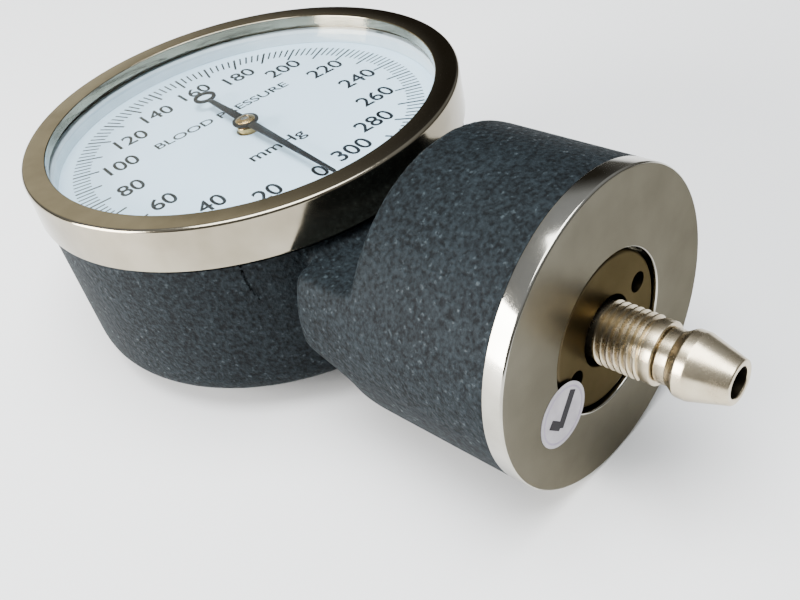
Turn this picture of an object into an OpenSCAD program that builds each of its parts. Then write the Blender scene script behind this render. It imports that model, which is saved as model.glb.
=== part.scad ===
// Aneroid pressure gauge head with a side barrel.
// The dial faces up (+Z). The barrel and its hose nipple point along -Y.
// The origin is on the dial axis, in the plane of the flat case back.

/* [Case] */
// Height of the bezel's top face above the case back
gauge_h = 24; // [22:0.5:28]
// Radius of the case wall just under the bezel
case_r = 25.5; // [24.5:0.1:25.8]
// Draft of the case wall from its rim to its back, on the radius
case_draft = 0.5; // [0:0.1:1]
// Radius of the rounded edge round the case back
case_corner = 2.4; // [1:0.1:3]
// Radius of the round space inside the case
cavity_r = 22.6; // [21.5:0.1:23]
// Thickness of the case back
back_t = 1.6; // [1.2:0.1:2.5]

/* [Bezel and lens] */
// Outer radius of the bezel ring
bezel_r = 26; // [26:0.1:27]
// Height of the bezel's outer wall
bezel_h = 5.3; // [5:0.1:6]
// Radius of the opening over the lens
bezel_open_r = 23.2; // [22:0.1:23.5]
// Radius of the rounded rim edge
bezel_edge = 0.55; // [0.3:0.05:1]
// Thickness of the lens
lens_t = 0.8; // [0.6:0.1:0.8]
// Depth of the lens below the bezel's top face
lens_drop = 1.3; // [1:0.1:1.3]

/* [Dial and pointer] */
// Height of the dial face above the case back
dial_z = 20.1; // [19.8:0.1:20.4]
// Thickness of the dial plate
dial_t = 0.5; // [0.3:0.1:0.8]
// Clockwise turn of the zero mark away from the barrel, in degrees
dial_turn = 9.6; // [0:0.1:20]
// Length of the pointer from the dial axis to its tip
pointer_len = 19.1; // [16:0.1:20]
// Distance from the dial axis to the centre of the pointer's tail ring
tail_len = 10.4; // [8:0.1:12]
// Outer radius of the tail ring
tail_ring_r = 1.45; // [1:0.05:2]

/* [Barrel] */
// Radius of the barrel that holds the pressure capsule
barrel_r = 16.4; // [15.5:0.1:17]
// Height of the barrel's axis above the case back
barrel_z = 10.3; // [9.5:0.1:10.6]
// Distance from the dial axis to the end of the painted barrel
barrel_end = 47.8; // [46:0.1:49]
// Radius of the round chamber inside the barrel
chamber_r = 14.8; // [14:0.1:15]
// Distance from the dial axis to the shoulder behind the bezel
shoulder_y = 31; // [30:0.1:33]
// Height of the step under the bezel
step_z = 17.2; // [16.8:0.1:17.5]
// Distance from the dial axis to the barrel's inner end
inner_end = 24.5; // [22:0.1:28]

/* [Cap and nipple] */
// Width of the polished band round the cap
cap_w = 2.2; // [2:0.1:3]
// Radius of the retaining nut in the middle of the cap
nut_r = 8; // [8:0.1:9]
// Diameter of the circle through the two spanner holes
spanner_pcd = 11.6; // [11:0.1:12.5]
// Radius of a spanner hole
spanner_hole_r = 1.1; // [0.8:0.05:1.3]
// Turn of the spanner holes away from level, in degrees
spanner_turn = 22; // [0:1:90]
// Radius over the thread crests of the stem
thread_r = 3.25; // [3:0.05:3.4]
// Thread pitch
thread_pitch = 0.7; // [0.5:0.1:0.8]
// Number of thread crests on the stem
thread_crests = 7; // [4:1:8]
// Length of the plain collar at the stem's end
collar_len = 1.1; // [0.8:0.1:1.5]
// Radius of the air bore through the nipple
air_r = 1.5; // [1.2:0.1:1.6]
// Largest radius of the hose barb
barb_r = 3.3; // [3:0.05:3.5]

/* [Movement] */
// Gear module
module_mm = 0.2; // [0.18:0.01:0.2]
// Teeth on the pinion
pinion_teeth = 10; // [10:1:10]
// Turns of the pinion for one turn of the sector
gear_ratio = 15; // [15:1:15]
// Full swing of the pointer, in degrees
scale_sweep = 342; // [300:1:345]
// Distance from the sector's axis to the lever's roller
lever_len = 4.1; // [4:0.1:4.4]
// Radius of the pinion and sector shafts
shaft_r = 0.6; // [0.5:0.05:0.7]
// Clearance round a turning shaft
running = 0.03; // [0.02:0.01:0.05]
// Radius of the push pin
pin_r = 1; // [0.8:0.1:1.2]

/* [Hidden] */
$fn = 96;

// A hair more than nothing, so that a cut passes its face
eps = 0.1;

// Bezel stack, from the top down
bezel_bottom = gauge_h - bezel_h;
gasket_t = 0.4;
shoulder_z = bezel_bottom - gasket_t;
bezel_bore_r = 24.15;
spigot_r = bezel_bore_r - 0.05;
spigot_top = dial_z - dial_t;
lens_r = bezel_bore_r - 0.15;
lens_top = gauge_h - lens_drop;
lens_bottom = lens_top - lens_t;
spacer_w = 0.9;

// Barrel and cap
cap_face = barrel_end + cap_w;
chamber_end = shoulder_y + 1.6;
chamber_depth = barrel_end - chamber_end;
passage_r = 5.5;
passage_start = cavity_r - 4;
cap_spigot_len = 2.6;
seal_r = 0.42;
seal_y = barrel_end - 1.05;
seal_floor_r = chamber_r - 2 * seal_r - 0.03;
nut_groove = 0.3;
nut_recess = 0.3;
stem_hole_r = thread_r + 0.4;
nut_t = 3.4;
spanner_hole_deep = 2.2;
washer_t = 0.5;
stem_flange_r = 7;
stem_flange_t = 1.2;
stem_body_r = thread_r - 0.35;
socket_r = 2.3;
socket_len = 3.5;
stem_end = cap_face + thread_crests * thread_pitch + collar_len;
nut_back = cap_face - nut_t;
flange_front = nut_back - washer_t;
flange_back = flange_front - stem_flange_t;

// Hose barb, measured outwards from the stem's end
barb_neck_r = 2.7;
barb_neck_len = 1.2;
barb_land_len = 1;
barb_rise_len = 0.9;
barb_taper_len = 4;
mouth_chamfer = 0.25;
joint_line = 0.12;
barb_mouth_r = 2.15;
barb_land_y = stem_end + barb_neck_len + barb_rise_len;
barb_mouth_y = barb_land_y + barb_land_len + barb_taper_len;

// Capsule
capsule_r = 12.6;
capsule_rim_r = capsule_r - 1;
capsule_skin = 0.25;
capsule_gap = 1.2;
capsule_wave = 0.45;
capsule_waves = 4;
capsule_mid = flange_back - capsule_gap;
boss_r = 2.4;
boss_t = 1.6;
boss_front = capsule_mid - capsule_gap;

// Movement plates
plate_r = 19.4;
plate_t = 1;
base_plate_z = 4.2;
top_plate_z = 15.2;
top_plate_top = top_plate_z + plate_t;
pillar_r = 1.5;
pillar_angles = [40, 150, -55];
pillar_dist = 16;
base_screw_angles = [0, 120, 240];
base_screw_dist = 17.2;
screw_shank_r = 0.7;
screw_head_r = 1.4;
screw_head_t = 0.8;
screw_slot_w = 0.4;
screw_reach = plate_t + 2;
screw_access_r = 1.9;
case_boss_r = 2.2;

// Gears
pinion_r = module_mm * pinion_teeth / 2;
sector_r = pinion_r * gear_ratio;
centre_dist = pinion_r + sector_r;
sector_swing = scale_sweep / gear_ratio;
sector_x = -lever_len;
sector_y = -sqrt(centre_dist * centre_dist - lever_len * lever_len);
mesh_angle = atan2(-sector_y, -sector_x);
sector_z = 12.8;
sector_t = 1;
pinion_face = 1.4;
pinion_z = sector_z - (pinion_face - sector_t) / 2;
pressure_angle = 20;
tooth_share = 0.42;
sector_teeth = 14;
sector_pitch_deg = 360 / (pinion_teeth * gear_ratio);
rim_w = 2.4;

// Pointer and its arbor
pointer_z = dial_z + 1.1;
pointer_t = 0.25;
arbor_top = pointer_z + 0.45;
arbor_foot = base_plate_z - 0.6;
boss_dome_r = 1.2;
boss_sleeve_r = 0.95;
boss_sleeve_h = 0.3;
bush_r = 1.2;
upper_bush_top = dial_z + 0.7;

// Hairspring
spring_z = 7.6;
spring_h = 0.4;
spring_t = 0.09;
spring_inner = 1.5;
spring_outer = 5;
spring_turns = 5;

// Lever and push pin
lever_z = barrel_z;
lever_t = 1.4;
lever_tip_r = 0.6;
lever_hub_r = 1.5;
lever_w = 0.9;
lever_rest = sector_swing / 2;
tip_y = sector_y - lever_len * sin(lever_rest);
touch_gap = 0.05;
pin_tip_y = tip_y - lever_tip_r - touch_gap;
guide_len = 4;
guide_y = shoulder_y - 0.5;

// Turns a part that was built along +Z so that it points along -Y at the barrel's axis
module along_barrel() {
    translate([0, 0, barrel_z]) rotate([90, 0, 0]) children();
}

// A tube along +Z
module tube(outer, inner, height) {
    difference() {
        cylinder(r = outer, h = height);
        translate([0, 0, -eps]) cylinder(r = inner, h = height + 2 * eps);
    }
}

// A slotted screw that stands on z = 0, with its shank below
module slotted_screw(shank_len) {
    difference() {
        union() {
            cylinder(r = screw_head_r, h = screw_head_t);
            translate([0, 0, -shank_len]) cylinder(r = screw_shank_r, h = shank_len + eps);
        }
        translate([-2 * screw_head_r, -screw_slot_w / 2, screw_head_t / 2])
            cube([4 * screw_head_r, screw_slot_w, screw_head_t]);
    }
}

// Angle, in degrees, that an involute adds between its base circle and a circle of radius r
function involute_deg(base, r) =
    let (a = acos(min(1, base / r))) tan(a) * 180 / PI - a;

// Half the angle of a tooth at radius r
function half_tooth_deg(pitch_r, base, r) =
    let (at_pitch = tooth_share * module_mm * 90 / pitch_r)
    at_pitch + involute_deg(base, pitch_r) - involute_deg(base, max(r, base));

// Outline of one tooth on the X axis, from inside its root circle to its tip
function tooth_outline(pitch_r, root, tip) =
    let (base = pitch_r * cos(pressure_angle),
         radii = [for (i = [0:4]) root + (tip - root) * i / 4],
         flank = [for (r = radii) [r, half_tooth_deg(pitch_r, base, r)]])
    concat([for (p = flank) p[0] * [cos(p[1]), -sin(p[1])]],
           [for (i = [4:-1:0]) flank[i][0] * [cos(flank[i][1]), sin(flank[i][1])]]);

// Points on one side of the flat spiral spring
function spiral(side) =
    [for (i = [0:spring_turns * 30])
        let (a = 12 * i, r = spring_inner + (spring_outer - spring_inner) * i / (spring_turns * 30)
                             + side * spring_t / 2)
        r * [cos(a), sin(a)]];

// Painted casting: the round bowl and the barrel in one piece
module case_body() {
    color("#3a4246") difference() {
        union() {
            bowl_outside();
            barrel_outside();
            translate([0, 0, shoulder_z - 1]) cylinder(r = spigot_r, h = spigot_top - shoulder_z + 1);
        }
        difference() {
            translate([0, 0, back_t]) cylinder(r = cavity_r, h = gauge_h);
            for (a = base_screw_angles)
                rotate(a) translate([base_screw_dist, 0, 0]) cylinder(r = case_boss_r, h = base_plate_z);
        }
        for (a = base_screw_angles)
            rotate(a) translate([base_screw_dist, 0, back_t]) cylinder(r = screw_shank_r, h = base_plate_z);
        along_barrel() translate([0, 0, chamber_end]) cylinder(r = chamber_r, h = chamber_depth + eps);
        along_barrel() translate([0, 0, passage_start])
            cylinder(r = passage_r, h = chamber_end - passage_start + eps);
    }
}

// The bowl's outer form, with a drafted wall and a rounded back edge
module bowl_outside() {
    foot_r = case_r - case_draft;
    rotate_extrude() {
        polygon([[0, 0], [foot_r - case_corner, 0], [foot_r - case_corner, case_corner],
                 [foot_r, case_corner], [case_r, shoulder_z], [0, shoulder_z]]);
        intersection() {
            translate([foot_r - case_corner, case_corner]) circle(r = case_corner);
            translate([foot_r - case_corner, 0]) square(case_corner);
        }
    }
}

// The barrel's outer form: cut down to a step beside the bezel, so that its wall stands clear
module barrel_outside() {
    difference() {
        union() {
            barrel_round();
            barrel_neck();
        }
        translate([-bezel_r, -shoulder_y, step_z]) cube([2 * bezel_r, shoulder_y, gauge_h]);
    }
}

// Round barrel with a rounded inner end
module barrel_round() {
    end_round = 6;
    along_barrel() rotate_extrude() {
        translate([0, inner_end]) square([barrel_r - end_round, barrel_end - inner_end]);
        translate([0, inner_end + end_round]) square([barrel_r, barrel_end - inner_end - end_round]);
        intersection() {
            translate([barrel_r - end_round, inner_end + end_round]) circle(r = end_round);
            translate([barrel_r - end_round, inner_end]) square(end_round);
        }
    }
}

// Upper half of the barrel's inner end, which runs on to the bowl with a sloping underside
module barrel_neck() {
    front = -inner_end + 1.3;
    back = -shoulder_y - 2;
    top = step_z + 1;
    underside = [[front, barrel_z - 1], [front - 2.1, barrel_z - 2.4],
                 [front - 4.6, barrel_z - 3.3], [back, barrel_z - 4.2]];
    side = concat([[front, top]], underside, [[back, top]]);
    intersection() {
        along_barrel() cylinder(r = barrel_r, h = barrel_end);
        translate([-barrel_r, 0, 0]) rotate([90, 0, 90]) linear_extrude(2 * barrel_r) polygon(side);
    }
}

// Polished ring that holds the lens
module bezel_ring() {
    color("#c8c8c4") rotate_extrude() {
        polygon([[bezel_bore_r, bezel_bottom], [bezel_r, bezel_bottom], [bezel_r, gauge_h - bezel_edge],
                 [bezel_r - bezel_edge, gauge_h - bezel_edge], [bezel_r - bezel_edge, gauge_h],
                 [bezel_open_r, gauge_h - 0.1], [bezel_open_r, lens_top], [bezel_bore_r, lens_top]]);
        intersection() {
            translate([bezel_r - bezel_edge, gauge_h - bezel_edge]) circle(r = bezel_edge);
            translate([bezel_r - bezel_edge, gauge_h - bezel_edge]) square(bezel_edge);
        }
    }
}

// Thin seal between the bezel and the case shoulder
module bezel_gasket() {
    set_back = 0.35;
    color("#151515") translate([0, 0, shoulder_z]) tube(case_r - set_back, bezel_bore_r, gasket_t);
}

// Flat clear window
module lens() {
    color("#cfe2ea") translate([0, 0, lens_bottom]) cylinder(r = lens_r, h = lens_t);
}

// White ring that keeps the lens off the dial
module lens_spacer() {
    color("#e8eeef") translate([0, 0, dial_z]) tube(lens_r, lens_r - spacer_w, lens_bottom - dial_z);
}

// Round dial plate with a hole for the upper bush
module dial_plate() {
    color("#dfe9ee") translate([0, 0, dial_z - dial_t]) tube(lens_r, bush_r + 0.2, dial_t);
}

// Tapered pointer with an open ring on its tail, lying at the zero mark
module pointer() {
    hub_r = 1.6;
    tip_w = 0.32;
    root_w = 1.15;
    tail_w = 0.5;
    ring_w = 0.42;
    tail_end = -tail_len + tail_ring_r - ring_w / 2;
    color("#141414") translate([0, 0, pointer_z]) rotate(-90 - dial_turn) difference() {
        linear_extrude(pointer_t) difference() {
            union() {
                circle(r = hub_r);
                polygon([[0, -root_w / 2], [pointer_len, -tip_w / 2], [pointer_len, tip_w / 2],
                         [0, root_w / 2], [tail_end, tail_w / 2], [tail_end, -tail_w / 2]]);
                translate([-tail_len, 0]) circle(r = tail_ring_r);
            }
            translate([-tail_len, 0]) circle(r = tail_ring_r - ring_w);
        }
        translate([0, 0, -eps]) cylinder(r = boss_sleeve_r, h = 1);
    }
}

// Domed brass boss that grips the arbor and carries the pointer
module pointer_boss() {
    dome_h = 0.55;
    sphere_r = 2.55;
    color("#b08d4a") difference() {
        union() {
            translate([0, 0, pointer_z + pointer_t]) intersection() {
                translate([0, 0, dome_h - pointer_t - sphere_r]) sphere(r = sphere_r);
                cylinder(r = boss_dome_r, h = dome_h);
            }
            translate([0, 0, pointer_z - boss_sleeve_h])
                cylinder(r = boss_sleeve_r, h = boss_sleeve_h + pointer_t);
        }
        translate([0, 0, pointer_z - boss_sleeve_h - eps])
            cylinder(r = shaft_r, h = arbor_top - pointer_z + boss_sleeve_h + eps);
    }
}

// Arbor with its pinion cut in one piece
module pinion_arbor() {
    root = pinion_r - 0.85 * module_mm;
    color("#b9bcc0") {
        translate([0, 0, arbor_foot]) cylinder(r = shaft_r, h = arbor_top - arbor_foot);
        translate([0, 0, pinion_z]) cylinder(r = root, h = pinion_face);
        translate([0, 0, pinion_z]) linear_extrude(pinion_face)
            for (i = [0:pinion_teeth - 1])
                rotate(mesh_angle + 180 + i * 360 / pinion_teeth)
                    polygon(tooth_outline(pinion_r, root - 0.1, pinion_r + module_mm));
    }
}

// Brass bush in the top plate, which shows through the dial
module upper_bush() {
    color("#b08d4a") translate([0, 0, top_plate_z])
        tube(bush_r, shaft_r + running, upper_bush_top - top_plate_z);
}

// Brass bush in the base plate
module lower_bush() {
    color("#b08d4a") translate([0, 0, arbor_foot]) tube(bush_r, shaft_r + running, plate_t + 1);
}

// Flat spiral spring that returns the pointer to zero
module hairspring() {
    last = spring_turns * 30;
    color("#7d8ca0") translate([0, 0, spring_z]) linear_extrude(spring_h)
        polygon(concat(spiral(1), [for (i = [last:-1:0]) spiral(-1)[i]]));
}

// Collet that ties the spring's inner end to the arbor
module hairspring_collet() {
    overhang = 0.3;
    color("#b08d4a") translate([0, 0, spring_z - overhang])
        tube(spring_inner - spring_t / 2 - 0.02, shaft_r, spring_h + 2 * overhang);
}

// Post that holds the spring's outer end
module hairspring_stud() {
    stud_r = 0.5;
    color("#b9bcc0") translate([spring_outer + spring_t / 2 + stud_r, 0, base_plate_z + plate_t])
        cylinder(r = stud_r, h = spring_z + spring_h + 0.3 - base_plate_z - plate_t);
}

// Round plate with the holes that both plates share
module movement_plate(z, bush_hole) {
    translate([0, 0, z]) difference() {
        cylinder(r = plate_r, h = plate_t);
        translate([0, 0, -eps]) cylinder(r = bush_hole, h = plate_t + 2 * eps);
        translate([sector_x, sector_y, -eps]) cylinder(r = shaft_r + running, h = plate_t + 2 * eps);
        children();
    }
}

// Lower plate, screwed to the case bosses
module movement_base_plate() {
    color("#a9a487") movement_plate(base_plate_z, bush_r)
        for (a = base_screw_angles)
            rotate(a) translate([base_screw_dist, 0, -eps])
                cylinder(r = screw_shank_r, h = plate_t + 2 * eps);
}

// Upper plate, open where the base screws are reached
module movement_top_plate() {
    color("#a9a487") movement_plate(top_plate_z, bush_r) {
        for (a = base_screw_angles)
            rotate(a) translate([base_screw_dist, 0, -eps])
                cylinder(r = screw_access_r, h = plate_t + 2 * eps);
        for (a = pillar_angles)
            rotate(a) translate([pillar_dist, 0, -eps]) cylinder(r = screw_shank_r, h = plate_t + 2 * eps);
    }
}

// Three pillars between the plates
module movement_pillars() {
    color("#b08d4a") for (a = pillar_angles)
        rotate(a) translate([pillar_dist, 0, base_plate_z + plate_t]) difference() {
            cylinder(r = pillar_r, h = top_plate_z - base_plate_z - plate_t);
            translate([0, 0, top_plate_z - base_plate_z - plate_t - 3]) cylinder(r = screw_shank_r, h = 4);
        }
}

// Screws that hold the top plate to the pillars
module pillar_screws() {
    color("#8b8f94") for (a = pillar_angles)
        rotate(a) translate([pillar_dist, 0, top_plate_top]) slotted_screw(screw_reach);
}

// Screws that hold the movement to the case
module base_screws() {
    color("#8b8f94") for (a = base_screw_angles)
        rotate(a) translate([base_screw_dist, 0, base_plate_z + plate_t]) slotted_screw(screw_reach);
}

// Toothed sector, in mesh with the pinion at zero pressure
module sector_gear() {
    root = sector_r - 1.25 * module_mm;
    span = sector_teeth * sector_pitch_deg;
    first = mesh_angle - sector_swing / 2 - span / 2;
    offset_teeth = ceil((mesh_angle - first) / sector_pitch_deg);
    spoke_inset = 3;
    spoke_w = 1.2;
    sector_hub_r = 2;
    color("#b08d4a") translate([sector_x, sector_y, sector_z]) difference() {
        union() {
            rotate(first) rotate_extrude(angle = span) translate([root - rim_w, 0]) square([rim_w, sector_t]);
            for (a = [first + spoke_inset, first + span - spoke_inset])
                rotate(a) translate([0, -spoke_w / 2, 0]) cube([root - rim_w / 2, spoke_w, sector_t]);
            cylinder(r = sector_hub_r, h = sector_t);
            linear_extrude(sector_t)
                for (i = [0:sector_teeth - 1])
                    rotate(mesh_angle + (i - offset_teeth + 0.5) * sector_pitch_deg)
                        polygon(tooth_outline(sector_r, root - 0.3, sector_r + 0.6 * module_mm));
        }
        translate([0, 0, -eps]) cylinder(r = shaft_r, h = sector_t + 2 * eps);
    }
}

// Shaft that carries the sector and the lever
module sector_shaft() {
    color("#b9bcc0") translate([sector_x, sector_y, base_plate_z])
        cylinder(r = shaft_r, h = top_plate_top - base_plate_z);
}

// Lever with a round tip that the push pin drives
module lever_arm() {
    color("#b9bcc0") translate([sector_x, sector_y, lever_z - lever_t / 2]) difference() {
        rotate(-lever_rest) {
            cylinder(r = lever_hub_r, h = lever_t);
            translate([0, -lever_w / 2, 0]) cube([lever_len, lever_w, lever_t]);
            translate([lever_len, 0, 0]) cylinder(r = lever_tip_r, h = lever_t);
        }
        translate([0, 0, -eps]) cylinder(r = shaft_r, h = lever_t + 2 * eps);
    }
}

// Pin that carries the capsule's movement to the lever
module push_pin() {
    color("#b9bcc0") along_barrel() translate([0, 0, -pin_tip_y])
        cylinder(r = pin_r, h = boss_front - boss_t + pin_tip_y);
}

// Bush that guides the push pin
module pin_guide() {
    color("#b08d4a") along_barrel() translate([0, 0, guide_y - guide_len])
        tube(passage_r - 0.02, pin_r + running, guide_len);
}

// Centre boss on the capsule's moving half
module capsule_boss() {
    color("#b08d4a") along_barrel() translate([0, 0, boss_front - boss_t]) cylinder(r = boss_r, h = boss_t);
}

// Height of a corrugated disc's inner face: a flat centre, waves, then a flat rim
function disc_height(r) =
    let (turn = 360 * capsule_waves * (r - boss_r) / (capsule_rim_r - boss_r),
         centre = capsule_gap - capsule_skin)
    r >= capsule_rim_r ? 0
    : r <= boss_r ? centre
    : centre - capsule_wave / 2 + capsule_wave / 2 * cos(turn);

// Corrugated disc with the inner face of its rim at z = 0 and its centre raised
module corrugated_half() {
    steps = 40;
    radii = [for (i = [0:steps]) capsule_r * i / steps];
    inner = [for (r = radii) [r, disc_height(r)]];
    outer = [for (i = [steps:-1:0]) [radii[i], disc_height(radii[i]) + capsule_skin]];
    rotate_extrude() polygon(concat(inner, outer));
}

// Half of the capsule that moves with the boss
module capsule_moving_half() {
    color("#b7a06a") along_barrel() translate([0, 0, capsule_mid]) mirror([0, 0, 1]) corrugated_half();
}

// Half of the capsule that is fixed to the stem
module capsule_fixed_half() {
    color("#b7a06a") along_barrel() translate([0, 0, capsule_mid]) difference() {
        corrugated_half();
        translate([0, 0, -1]) cylinder(r = air_r + 0.3, h = 4);
    }
}

// Threaded stem with a flange inside the cap, a plain collar and an air bore right through
module pressure_stem() {
    crest = [[thread_r, 0.35], [thread_r, 0.55], [stem_body_r, 0.9]];
    color("#c9bb93") along_barrel() difference() {
        union() {
            translate([0, 0, flange_back]) cylinder(r = stem_flange_r, h = stem_flange_t);
            translate([0, 0, flange_front]) cylinder(r = stem_body_r, h = stem_end - flange_front);
            translate([0, 0, stem_end - collar_len]) cylinder(r = thread_r - 0.1, h = collar_len);
            translate([0, 0, cap_face]) rotate_extrude()
                polygon(concat([[stem_body_r - 0.4, 0], [stem_body_r, 0]],
                    [for (i = [0:thread_crests - 1], p = crest) [p[0], (i + p[1]) * thread_pitch]],
                    [[stem_body_r - 0.4, thread_crests * thread_pitch]]));
        }
        translate([0, 0, flange_back - eps]) cylinder(r = air_r, h = stem_end - flange_back + 2 * eps);
        translate([0, 0, stem_end - socket_len]) cylinder(r = socket_r, h = socket_len + eps);
    }
}

// Flat washer that seals the stem's flange to the cap
module stem_washer() {
    color("#1b1b1b") along_barrel() translate([0, 0, flange_front])
        tube(stem_flange_r, stem_hole_r, washer_t);
}

// Round nut with two holes for a pin spanner
module retaining_nut() {
    color("#7a6340") along_barrel() difference() {
        translate([0, 0, nut_back]) cylinder(r = nut_r, h = nut_t - nut_recess);
        translate([0, 0, nut_back - eps]) cylinder(r = stem_hole_r, h = nut_t + 2 * eps);
        for (a = [spanner_turn, spanner_turn + 180])
            rotate(a) translate([spanner_pcd / 2, 0, cap_face - spanner_hole_deep])
                cylinder(r = spanner_hole_r, h = spanner_hole_deep);
    }
}

// Cap that closes the barrel, with a polished band and a satin face
module end_cap() {
    bore_r = nut_r + nut_groove;
    chamfer = 0.3;
    seal_groove_w = 1.1;
    color("#9a9484") along_barrel() difference() {
        union() {
            translate([0, 0, barrel_end]) cylinder(r = barrel_r, h = cap_w - chamfer);
            translate([0, 0, cap_face - chamfer])
                cylinder(r1 = barrel_r, r2 = barrel_r - chamfer, h = chamfer);
            translate([0, 0, barrel_end - cap_spigot_len])
                cylinder(r = chamber_r - 0.05, h = cap_spigot_len + eps);
        }
        translate([0, 0, nut_back]) cylinder(r = bore_r, h = nut_t + eps);
        translate([0, 0, barrel_end - cap_spigot_len - eps])
            cylinder(r = stem_flange_r + 0.2, h = cap_spigot_len);
        translate([0, 0, seal_y - seal_groove_w / 2]) tube(barrel_r, seal_floor_r, seal_groove_w);
    }
}

// Round seal in the groove of the cap's spigot
module cap_seal() {
    color("#151515") along_barrel() translate([0, 0, seal_y]) rotate_extrude()
        translate([chamber_r - seal_r - 0.01, 0]) circle(r = seal_r);
}

// Barbed hose nozzle screwed into the stem
module hose_barb() {
    color("#d2c39a") along_barrel() difference() {
        union() {
            translate([0, 0, stem_end - socket_len]) cylinder(r = socket_r, h = socket_len + eps);
            translate([0, 0, stem_end - eps]) cylinder(r = socket_r, h = joint_line + 2 * eps);
            translate([0, 0, stem_end + joint_line]) cylinder(r = barb_neck_r, h = barb_neck_len);
            translate([0, 0, stem_end + barb_neck_len])
                cylinder(r1 = barb_neck_r, r2 = barb_r, h = barb_rise_len);
            translate([0, 0, barb_land_y]) cylinder(r = barb_r, h = barb_land_len);
            translate([0, 0, barb_land_y + barb_land_len])
                cylinder(r1 = barb_r, r2 = barb_mouth_r, h = barb_taper_len);
        }
        translate([0, 0, stem_end - socket_len - eps])
            cylinder(r = air_r, h = barb_mouth_y - stem_end + socket_len + 2 * eps);
        translate([0, 0, barb_mouth_y - mouth_chamfer])
            cylinder(r1 = air_r, r2 = air_r + mouth_chamfer + eps, h = mouth_chamfer + eps);
    }
}

// Round inspection sticker across the cap and the nut
module quality_sticker() {
    sticker_r = 3.4;
    sticker_t = 0.1;
    centre = [-8.2, 0, -4];
    color("#f2f2ee") translate(centre) along_barrel() translate([0, 0, cap_face])
        cylinder(r = sticker_r, h = sticker_t);
}

case_body();
bezel_ring();
bezel_gasket();
lens();
lens_spacer();
dial_plate();
pointer();
pointer_boss();
pinion_arbor();
upper_bush();
lower_bush();
hairspring();
hairspring_collet();
hairspring_stud();
movement_base_plate();
movement_top_plate();
movement_pillars();
pillar_screws();
base_screws();
sector_gear();
sector_shaft();
lever_arm();
push_pin();
pin_guide();
capsule_boss();
capsule_moving_half();
capsule_fixed_half();
pressure_stem();
stem_washer();
retaining_nut();
end_cap();
cap_seal();
hose_barb();
quality_sticker();
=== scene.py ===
"""Looks of an aneroid pressure gauge head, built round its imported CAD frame.

A piece is shaped in millimetres on the bench and delivered in metres. The dial faces up (+Z) and the
barrel with its hose nipple points along -Y.
"""

import logging
import math
from collections.abc import Callable, Iterable, Sequence
from dataclasses import dataclass
from enum import Enum
from typing import Any

import bmesh
import bpy
from mathutils import Matrix, Vector


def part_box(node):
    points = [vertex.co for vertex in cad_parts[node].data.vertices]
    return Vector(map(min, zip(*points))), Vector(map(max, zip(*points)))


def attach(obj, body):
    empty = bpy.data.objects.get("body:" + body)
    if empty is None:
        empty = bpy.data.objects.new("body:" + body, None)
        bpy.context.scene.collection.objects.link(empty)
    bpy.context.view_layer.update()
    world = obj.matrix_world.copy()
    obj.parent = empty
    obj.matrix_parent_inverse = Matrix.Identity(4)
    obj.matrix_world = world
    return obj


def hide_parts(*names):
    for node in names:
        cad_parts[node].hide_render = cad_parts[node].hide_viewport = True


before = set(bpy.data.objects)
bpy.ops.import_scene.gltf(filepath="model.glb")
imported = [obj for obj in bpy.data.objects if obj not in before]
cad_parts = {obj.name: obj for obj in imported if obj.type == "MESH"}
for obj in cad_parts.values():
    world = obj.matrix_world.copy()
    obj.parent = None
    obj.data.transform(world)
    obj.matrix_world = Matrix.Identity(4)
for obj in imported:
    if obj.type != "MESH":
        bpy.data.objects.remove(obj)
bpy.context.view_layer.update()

LOG = logging.getLogger("gauge")
MM = 0.001
FULL_TURN = math.tau

Colour = tuple[float, float, float]
Corner = tuple[float, ...]


# ---------------------------------------------------------------- shader recipes


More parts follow.
